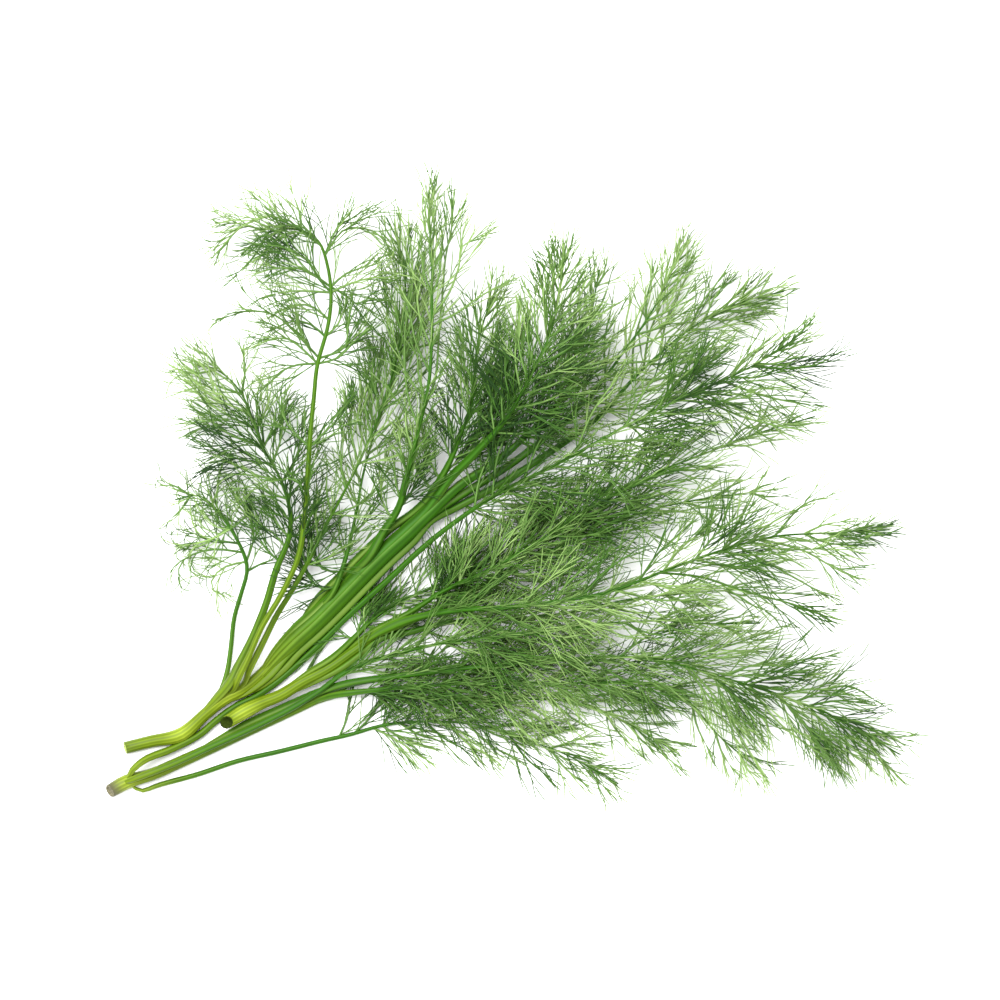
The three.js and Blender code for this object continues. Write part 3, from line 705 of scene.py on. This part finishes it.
def twigs_along(dice, branch, first, last, leaf, tone, longest):
    """Twigs on a branch from its first share to its last, on its two sides in turn."""
    strands = []
    side = dice.choice((0, 180))
    share = first
    while share < last:
        turn = side + dice.gauss(0, TWIG_TURN_SPREAD)
        side = 180 - side
        fan = radians(mix(*TWIG_FAN, share) + dice.gauss(0, TWIG_FAN_SPREAD))
        length = min(SHORTEST_TWIG + TWIG_SHARE * (1 - share) * branch.length, longest)
        length *= dice.uniform(*TWIG_UNEVENNESS)
        place = branch.place(share)
        # The tone carries painted shade for how crowded this place is
        twig_tone = tone + dice.gauss(0, TONE_SPREAD) + painted_shade_and_pale_patches(place)
        strands += twig_on(dice, place, branch.heading(share), turn, fan, length, leaf, twig_tone)
        closeness = branch.length * leaf["full"] * crowding(place)
        share += TWIG_STEP * dice.uniform(*STEP_UNEVENNESS) / closeness
    return strands


def covering_twigs(dice, midrib, leaf):
    """Twigs that rise from the midrib and lean over it, which hide it where foliage is crowded."""
    strands = []
    share, last = leaf["cover"]
    while share < last:
        place = midrib.place(share)
        fan = radians(COVER_FAN + dice.gauss(0, COVER_FAN_SPREAD))
        turn = 90 + dice.gauss(0, COVER_TURN_SPREAD)
        # The tone carries painted shade for how crowded this place is
        tone = USUAL_TONE + leaf["light"] + painted_shade_and_pale_patches(place) + dice.gauss(0, TONE_SPREAD)
        strands += twig_on(dice, place, midrib.heading(share), turn, fan, COVER_LENGTH, leaf, tone)
        share += COVER_STEP * dice.uniform(*STEP_UNEVENNESS) / (midrib.length * crowding(place))
    return strands


def straight_branch(leaf, midrib, along, side, length, angle):
    """The line of a side branch that leaves the midrib at an angle and bends a little to its tip."""
    start = midrib.place(along)
    tangent = midrib.heading(along)
    tangent = Vector((tangent.x, tangent.y, 0)).normalized()
    across = level_left(tangent) * side

    def half(turn):
        return (tangent * cos(turn) + across * sin(turn)) * (length / 2)

    middle = start + half(angle)
    tip = middle + half(angle - radians(BRANCH_BEND))
    middle.z = max(start.z - BRANCH_DROOP * length * MIDDLE_DROOP, MIDDLE_HEIGHT)
    tip.z = max(start.z - BRANCH_DROOP * length, TIP_HEIGHT)
    return smooth_path([start, middle, tip], BRANCH_STEPS)


def drawn_branch(midrib, places):
    """The line of a side branch through level places, which droops from the midrib's height."""
    root = Vector(places[0])
    start = midrib.place(nearest_share(midrib, lambda place: (place.xy - root).length))
    points = [start]
    for x, y in places[1:]:
        away = Vector((x - start.x, y - start.y)).length
        points.append(Vector((x, y, max(start.z - BRANCH_DROOP * away, TIP_HEIGHT))))
    return smooth_path(points, BRANCH_STEPS)


def spaced_branches(dice, leaf, midrib):
    """Side branches at even spaces on both sides, with more between them where it is crowded."""
    branches = []
    fan = [radians(angle) for angle in leaf["fan"]]
    for side, lengths in ((1, leaf["left"]), (-1, leaf["right"])):
        last = len(lengths) - 1
        for i in range(2 * last + 1):
            place = i / 2
            extra = i % 2
            share = place / last
            along = mix(leaf["blade"], LAST_BRANCH, share)
            length = mix(lengths[int(place)], lengths[min(int(place) + 1, last)], place % 1)
            angle = mix(*fan, share)
            if extra:
                along += dice.uniform(-EXTRA_SHIFT, EXTRA_SHIFT)
                length *= dice.uniform(*EXTRA_UNEVENNESS)
                angle += radians(dice.gauss(0, EXTRA_ANGLE_SPREAD))
            branch = straight_branch(leaf, midrib, along, side, length, angle)
            chance = EXTRA_CHANCE * leaf["full"] * crowding(branch.place(0.5))
            if extra and dice.random() > chance:
                continue
            branches.append(branch)
    return branches


def leaf_strands(leaf):
    """Every strand of a leaf: its side branches, and the twigs and threads on them and on its tip."""
    dice = Random(leaf["name"])
    midrib = smooth_path(leaf["route"], BRANCH_STEPS)
    branches = spaced_branches(dice, leaf, midrib)
    branches += [drawn_branch(midrib, places) for places in leaf["drawn"]]
    strands = []
    for branch in branches:
        tone = dice.gauss(USUAL_TONE, TONE_SPREAD) + leaf["light"]
        count = max(round(branch.length / BRANCH_RING_STEP), FEWEST_RINGS)
        points = [branch.place(i / count) for i in range(count + 1)]
        radii = tapering(points, BRANCH_RADIUS, BRANCH_TIP_RADIUS)
        radii[0] = BRANCH_RADIUS
        strands.append(Strand(points, radii, tone))
        strands += twigs_along(dice, branch, *TWIG_REACH, leaf, tone, LONGEST_TWIG)
        end = branch.place(TWIG_REACH[1])
        strands += twig_on(dice, end, branch.heading(1), 0, END_FAN, BRANCH_END_TWIG, leaf, tone)
    shares = [mix(LEAF_TIP_START, 1, i / BRANCH_STEPS) for i in range(BRANCH_STEPS + 1)]
    tip = Path([midrib.place(share) for share in shares])
    tone = LEAF_TIP_TONE + leaf["light"]
    strands += twigs_along(dice, tip, 0, LEAF_TIP_LAST_TWIG, leaf, tone, SHORTEST_TWIG)
    end = midrib.place(TWIG_REACH[1])
    strands += twig_on(dice, end, midrib.heading(1), 0, END_FAN, LEAF_END_TWIG, leaf, tone)
    strands += covering_twigs(dice, midrib, leaf)
    return strands


def strip_places(strands):
    """Where each corner of the strands lies on the flat map: a strand's sides share one strip."""
    left = STALK_MAP_SIDE + MAP_GAP
    width = 1 - left
    columns = ceil((len(strands) * STRIP_SLENDERNESS * width) ** 0.5)
    rows = ceil(len(strands) / columns)
    places = []
    for number, strand in enumerate(strands):
        row, column = divmod(number, columns)
        last = len(strand.points) - 1
        for i in range(last + 1):
            up = (row + mix(*STRIP_HEIGHT, i / last)) / rows
            for across in STRIP_WIDTH * (SIDES // 2):
                places.append((left + (column + across) * width / columns, up))
    return places


def strands_mesh(name, strands):
    """A mesh of one four-sided tapering tube for each strand."""
    curve = bpy.data.curves.new(name, "CURVE")
    curve.dimensions = "3D"
    curve.bevel_depth = MM
    curve.bevel_resolution = 0
    for strand in strands:
        spline = curve.splines.new("POLY")
        spline.points.add(len(strand.points) - 1)
        places = [axis for point in strand.points for axis in (*(point * MM), 1)]
        spline.points.foreach_set("co", places)
        spline.points.foreach_set("radius", strand.radii)
    rods = bpy.data.objects.new(name, curve)
    mesh = bpy.data.meshes.new_from_object(rods)
    bpy.data.objects.remove(rods)
    bpy.data.curves.remove(curve)
    tones = [strand.tone for strand in strands for _ in range(len(strand.points) * SIDES)]
    alongs = [
        i / (len(strand.points) - 1)
        for strand in strands
        for i in range(len(strand.points))
        for _ in range(SIDES)
    ]
    mesh.attributes.new("tone", "FLOAT", "POINT").data.foreach_set("value", tones)
    mesh.attributes.new("along", "FLOAT", "POINT").data.foreach_set("value", alongs)
    for layer in list(mesh.uv_layers):
        mesh.uv_layers.remove(layer)
    flat = strip_places(strands)
    spots = [axis for loop in mesh.loops for axis in flat[loop.vertex_index]]
    mesh.uv_layers.new(name=FLAT_MAP).uv.foreach_set("vector", spots)
    return mesh


# Rods: stems, and leafstalks with their midribs

def column(sides, steps):
    """An upright closed column, one unit in radius and height, cut into rings."""
    shape = bmesh.new()
    bmesh.ops.create_cone(shape, cap_ends=True, segments=sides, radius1=1, radius2=1, depth=1)
    upright = [e for e in shape.edges if abs(e.verts[0].co.z - e.verts[1].co.z) > 0.5]
    bmesh.ops.subdivide_edges(shape, edges=upright, cuts=steps - 1, use_grid_fill=True)
    return shape


def cut_end(shape, depth):
    """Cuts a column's lower end: a rim of rind round a pith or a hollow this deep, in its heights."""
    end = min(shape.faces, key=lambda face: face.calc_center_median().z)
    rim = bmesh.ops.inset_individual(shape, faces=[end], thickness=RIM)["faces"]
    wall = bmesh.ops.inset_individual(shape, faces=[end], thickness=CUT_WALL, depth=-depth)["faces"]
    for face in [end, *rim, *wall]:
        face.material_index = 1


def lay_flat(shape, side):
    """Maps a column's skin to the left side of the flat map, and its ends to the corner of that."""
    flat = shape.loops.layers.uv.new(FLAT_MAP)
    end = side * END_MAP_SHARE
    for face in shape.faces:
        places = [loop.vert.co for loop in face.loops]
        level = max(place.z for place in places) - min(place.z for place in places) < LEVEL_ENOUGH
        if level or face.material_index:
            for loop, place in zip(face.loops, places):
                loop[flat].uv = (end / 2 * (1 + place.x), end / 2 * (1 + place.y))
            continue
        turns = [atan2(place.y, place.x) / (2 * pi) + 0.5 for place in places]
        crosses = max(turns) - min(turns) > 0.5
        for loop, place, turn in zip(face.loops, places, turns):
            turn += 1 if crosses and turn < 0.5 else 0
            up = mix(end + MAP_GAP, 1, place.z + 0.5)
            loop[flat].uv = (side * turn / (1 + 1 / STALK_SIDES), up)


def carry(shape, path, radius_at, ribs, rib_height, lie=90, broad_at=lambda along: 1, slant=0):
    """Carries a unit column to a path, in metres, ribbed, and broader where it clasps its stem."""
    crest = shape.verts.layers.float.new("crest")
    margin = shape.verts.layers.float.new("margin")
    walked = shape.verts.layers.float.new("along")
    for vert in shape.verts:
        along = min(max(vert.co.z + 0.5, 0), 1)
        heading = path.heading(along)
        turn = atan2(vert.co.y, vert.co.x)
        vert[crest] = 0.5 + 0.5 * cos(ribs * turn)
        vert[walked] = along * path.length
        radius = radius_at(along) * (1 + rib_height * (2 * vert[crest] - 1))
        broad = broad_at(along)
        vert[margin] = (broad - 1) * max(abs(cos(turn)) - MARGIN_START, 0) / (1 - MARGIN_START)
        up = outwards(heading, lie) * (vert.co.y / broad**0.5)
        across = outwards(heading, lie + 90) * (vert.co.x * broad)
        cut_back = heading * (slant * vert.co.y * max(1 - along * path.length / CUT_FADE, 0))
        vert.co = path.place(along) + (up + across + cut_back) * radius
        vert.co.z = max(vert.co.z, 0)
    bmesh.ops.scale(shape, vec=(MM, MM, MM), verts=shape.verts)


def paint(shape, name, value_at):
    """Gives every corner a value by how far along its rod it is."""
    layer = shape.verts.layers.float.new(name)
    walked = shape.verts.layers.float["along"]
    for vert in shape.verts:
        vert[layer] = value_at(vert[walked])


def stem_radius(stem, length, along):
    plain = mix(STEM_RADIUS, STEM_END_RADIUS, along**2)
    swell = max(swelling((along - node) * length, NODE_LENGTH) for node in stem["nodes"])
    narrow = min((1 - along) * length / STEM_TIP, 1) ** 0.5
    return plain * (1 + NODE_SWELL * swell) * max(narrow, NARROWEST_TIP)


def sheath(walked, root):
    """How much a sheath shows at a place on a leafstalk: 1 in the middle of the root, then less."""
    return swelling(walked - root / 2, max(SHEATH_LENGTH, root / 2))


def stalk_radius(leaf, length, root, along):
    """The leafstalk's radius, then the midrib's, which is slender where the side branches are."""
    walked = along * length
    own = max((walked - root) / (length - root), 0)
    slender = max(min((own - leaf["blade"] + SLIM_START) / SLIM_LENGTH, 1), 0)
    plain = mix(leaf["radius"], MIDRIB_TIP_RADIUS, own**MIDRIB_TAPER) * (1 - MIDRIB_SLIMNESS * slender)
    rise = mix(ROOT_THICKNESS, 1, min(walked / ROOT_RISE, 1) ** ROOT_TAPER)
    return max(plain * (1 + SHEATH_SWELL * sheath(walked, root)) * rise, THINNEST_MIDRIB)


def stem_tone(stem, length, walked):
    """0 at a node, where a stem is yellow-green, and more as it turns green away from it."""
    apart = min(abs(walked / length - node) for node in stem["nodes"]) * length
    return min(apart / STEM_TONE_LENGTH, DEEPEST_STEM_TONE)


def stalk_path(leaf, stem):
    """A leaf's line after a root that clasps the stem, and the root's length, lie and first tone."""
    line = smooth_path(stem["route"], ROD_STEPS)
    start = Vector(leaf["route"][0])
    share = nearest_share(line, lambda place: (place - start).length)
    heading = line.heading(share)
    apart = start - line.place(share)
    left = level_left(heading)
    lie = leaf.get("lie", degrees(atan2(apart.dot(heading.cross(left)), apart.dot(left))))
    hug = min(leaf["hug"], share * line.length)
    knots = max(round(hug / ROOT_STEP), 2)
    root = []
    for knot in range(knots):
        back = 1 - knot / knots
        there = share - back * hug / line.length
        rise = min((1 - back) * hug / ROOT_RISE, 1)
        lift = stem_radius(stem, line.length, there) * mix(ROOT_DEPTH, 1, rise)
        lift += leaf["radius"] * mix(0, 0.5, rise)
        lift += leaf["away"] * rise * min(back * hug / ROOT_RISE, 1)
        root.append(line.place(there) + outwards(line.heading(there), lie) * lift)
    whole = smooth_path([*root, *leaf["route"]], ROD_STEPS)
    own = smooth_path(leaf["route"], ROD_STEPS)
    tone = stem_tone(stem, line.length, share * line.length - hug)
    return whole, whole.length - own.length, lie, tone


def finished(node, finish, shape, materials):
    """Makes the piece that stands in place of a plain solid."""
    name = f"{node}_{finish}"
    mesh = bpy.data.meshes.new(name)
    bmesh.ops.recalc_face_normals(shape, faces=shape.faces)
    shape.to_mesh(mesh)
    shape.free()
    for material in materials:
        mesh.materials.append(material)
    mesh.shade_smooth()
    piece = bpy.data.objects.new(name, mesh)
    bpy.context.scene.collection.objects.link(piece)
    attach(piece, "root")
    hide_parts(node)


def make_stem(stem, green, cut):
    path = smooth_path(stem["route"], FINE_STEPS)
    length = path.length
    shape = column(STEM_SIDES, round(length / RING_STEP))
    cut_end(shape, stem["cut"] / length)
    lay_flat(shape, STEM_MAP_SIDE)
    carry(
        shape, path, lambda along: stem_radius(stem, length, along),
        STEM_RIBS, STEM_RIB_HEIGHT, slant=stem["slant"],
    )
    paint(shape, "tone", lambda walked: stem_tone(stem, length, walked))
    paint(shape, "dry", lambda walked: stem["dry"] * max(1 - walked / DRY_LENGTH, 0) ** 0.5)
    finished(stem["name"], "ribbed", shape, [green, cut])


def make_leaf(leaf, stem, stalk_green, thread_green):
    path, root, lie, first_tone = stalk_path(leaf, stem)
    length = path.length
    shape = column(STALK_SIDES, round(length / RING_STEP))
    lay_flat(shape, STALK_MAP_SIDE)
    carry(
        shape, path, lambda along: stalk_radius(leaf, length, root, along),
        STALK_RIBS, STALK_RIB_HEIGHT, lie,
        lambda along: 1 + stem["clasp"] * sheath(along * length, root),
    )
    paint(shape, "tone", lambda walked: min(first_tone + walked / leaf["greening"], 1))
    stalk_faces = len(shape.faces)
    strands = strands_mesh(leaf["name"], leaf_strands(leaf))
    shape.from_mesh(strands)
    bpy.data.meshes.remove(strands)
    shape.faces.ensure_lookup_table()
    for face in shape.faces[stalk_faces:]:
        face.material_index = 1
    bmesh.ops.remove_doubles(shape, verts=shape.verts, dist=SAME_PLACE * MM)
    finished(leaf["name"], "feathery", shape, [stalk_green, thread_green])


# Materials

def colour(code):
    """A linear colour from an sRGB hex value."""
    channels = [int(code[i : i + 2], 16) / 255 for i in (1, 3, 5)]
    linear = [c / 12.92 if c <= 0.04045 else ((c + 0.055) / 1.055) ** 2.4 for c in channels]
    return (*linear, 1)


def add_node(tree, kind, settings=None, inputs=None, links=None, stops=()):
    """Adds a node with its settings, its sockets' values and links, and the stops of a ramp."""
    node = tree.nodes.new("ShaderNode" + kind)
    for name, value in (settings or {}).items():
        setattr(node, name, value)
    for name, value in (inputs or {}).items():
        node.inputs[name].default_value = value
    for name, source in (links or {}).items():
        tree.links.new(source, node.inputs[name])
    if stops:
        elements = node.color_ramp.elements
        while len(elements) < len(stops):
            elements.new(0.5)
        for element, (place, code) in zip(elements, stops):
            element.position = place
            element.color = colour(code)
    return node


def mottled(tree, green, size, amount):
    """A colour that is a little brighter and darker by turns, in blotches of this size."""
    place = add_node(tree, "TexCoord").outputs["Object"]
    inputs = {"Scale": 1 / (size * MM), "Detail": 3}
    blotches = add_node(tree, "TexNoise", None, inputs, {"Vector": place}).outputs["Fac"]
    inputs = {"To Min": 1 - amount, "To Max": 1 + amount}
    brightness = add_node(tree, "MapRange", None, inputs, {"Value": blotches}).outputs["Result"]
    links = {0: green, "Scale": brightness}
    return add_node(tree, "VectorMath", {"operation": "SCALE"}, None, links).outputs["Vector"]


def material_of(name, look):
    """A material from its look, a function that gives the values and links of the shader."""
    material = bpy.data.materials.new(name)
    material.use_nodes = True
    tree = material.node_tree
    tree.nodes.clear()
    shader = add_node(tree, "BsdfPrincipled", None, *look(tree))
    add_node(tree, "OutputMaterial", links={"Surface": shader.outputs["BSDF"]})
    return material


def thread_look(tree):
    # The thread-like leaf segments: deep green and waxy and paler towards their tips. Their tone also
    # carries painted shade:
    # darker where they crowd in a frond's heart, and paler where they lie thin at its edge.
    along = add_node(tree, "Attribute", {"attribute_name": "along"}).outputs["Fac"]
    tone = add_node(tree, "Attribute", {"attribute_name": "tone"}).outputs["Fac"]
    lighter = add_node(
        tree, "Math", {"operation": "MULTIPLY_ADD"}, {1: TIP_PALENESS}, {0: along, 2: tone}
    ).outputs["Value"]
    green = add_node(tree, "ValToRGB", links={"Fac": lighter}, stops=[
        (0.1, "#18360c"), (0.4, "#365c16"), (0.7, "#567636"), (1, "#7f9b58"),
    ]).outputs["Color"]
    surface = mottled(tree, green, LEAF_BLOTCH, LEAF_MOTTLE)
    return {"Roughness": 0.5, "Specular IOR Level": 0.2}, {"Base Color": surface}


def stem_look(tree):
    # A ribbed, juicy stem: yellow-green where a sheath clasps it, greener further up, its furrows
    # darker than its ridges, and the thin margins of the sheaths pale. A cut end dries to grey.
    tone = add_node(tree, "Attribute", {"attribute_name": "tone"}).outputs["Fac"]
    furrow = add_node(tree, "ValToRGB", links={"Fac": tone}, stops=[
        (0, "#5f7010"), (0.05, "#4a5c06"), (0.25, "#384f06"), (0.5, "#284804"), (1, "#1f4204"),
    ]).outputs["Color"]
    ridge = add_node(tree, "ValToRGB", links={"Fac": tone}, stops=[
        (0, "#8c9e2c"), (0.05, "#6a7e10"), (0.25, "#54700c"), (0.5, "#40680a"), (1, "#305f0a"),
    ]).outputs["Color"]
    surface = furrow
    for name, inputs, links in (
        ("crest", {}, {7: ridge}),
        ("margin", {7: colour("#8c9e48")}, {}),
        ("dry", {7: colour("#4f4d38")}, {}),
    ):
        share = add_node(tree, "Attribute", {"attribute_name": name}).outputs["Fac"]
        settings = {"data_type": "RGBA", "clamp_factor": True}
        links = {"Factor": share, 6: surface, **links}
        surface = add_node(tree, "Mix", settings, inputs, links).outputs[2]
    surface = mottled(tree, surface, STEM_BLOTCH, STEM_MOTTLE)
    return {"Roughness": 0.45, "Specular IOR Level": 0.12}, {"Base Color": surface}


def cut_look(speckle, pith):
    # The cut across a stem: wet pith with the fine speckle of its vessels, or a hollow whose dark colours
    # are painted shade.
    def look(tree):
        place = add_node(tree, "TexCoord").outputs["Object"]
        inputs = {"Scale": 1 / (VESSEL_SPACING * MM)}
        vessels = add_node(tree, "TexNoise", None, inputs, {"Vector": place}).outputs["Fac"]
        flesh = add_node(
            tree, "ValToRGB", links={"Fac": vessels}, stops=[(0.35, speckle), (0.6, pith)]
        ).outputs["Color"]
        return {"Roughness": 0.6, "Specular IOR Level": 0.05}, {"Base Color": flesh}

    return look


def paper_look(tree):
    # White paper, matt and plain.
    return {"Base Color": colour("#fafafa"), "Roughness": 0.9}, {}


# Floor, light and camera

def white_floor():
    shape = bmesh.new()
    bmesh.ops.create_grid(shape, x_segments=1, y_segments=1, size=3)
    mesh = bpy.data.meshes.new("white_table")
    shape.to_mesh(mesh)
    shape.free()
    mesh.materials.append(material_of("white_paper", paper_look))
    floor = bpy.data.objects.new("white_table", mesh)
    bpy.context.scene.collection.objects.link(floor)


def soft_light():
    light = bpy.data.lights.new("softbox", "AREA")
    light.shape = "DISK"
    light.size = 1.2
    light.energy = 50
    lamp = bpy.data.objects.new("softbox", light)
    lamp.location = (-0.5, 0.5, 1.5)
    lamp.rotation_euler = (-lamp.location).to_track_quat("-Z", "Y").to_euler()
    bpy.context.scene.collection.objects.link(lamp)
    world = bpy.data.worlds.new("studio")
    world.use_nodes = True
    background = world.node_tree.nodes["Background"]
    background.inputs["Color"].default_value = (1, 1, 1, 1)
    background.inputs["Strength"].default_value = 1.45
    bpy.context.scene.world = world
    bpy.context.scene.view_settings.view_transform = "Standard"


def camera_above():
    lens = bpy.data.cameras.new("camera")
    lens.lens = 120
    lens.sensor_width = 36
    camera = bpy.data.objects.new("camera", lens)
    # Straight above the middle of the bunch
    camera.location = (-1.8 * MM, -3.15 * MM, 1008 * MM)
    bpy.context.scene.collection.objects.link(camera)
    bpy.context.scene.camera = camera


camera_above()
soft_light()
white_floor()
stem_green = material_of("fresh_dill_stem", stem_look)
leaf_green = material_of("fresh_dill_leaf", thread_look)
fresh_cut = material_of("cut_dill_stem", cut_look("#6d7f33", "#aebb74"))
dry_cut = material_of("dry_cut_dill_stem", cut_look("#4c4a36", "#77725a"))
# Painted shade: the hollow end of stem_3 is coloured near black-green, as if in shadow
painted_shade_hollow_cut = material_of("hollow_cut_dill_stem", cut_look("#2c3a0a", "#222e06"))
for stem, cut in zip(STEMS, (fresh_cut, dry_cut, painted_shade_hollow_cut)):
    make_stem(stem, stem_green, cut)
for row in LEAVES:
    leaf = {**USUAL_LEAF, "cover": (row["blade"], LAST_BRANCH), **row}
    # leaf_2a grows from stem_2
    stem = STEMS[int(leaf["name"][5]) - 1]
    make_leaf(leaf, stem, stem_green, leaf_green)
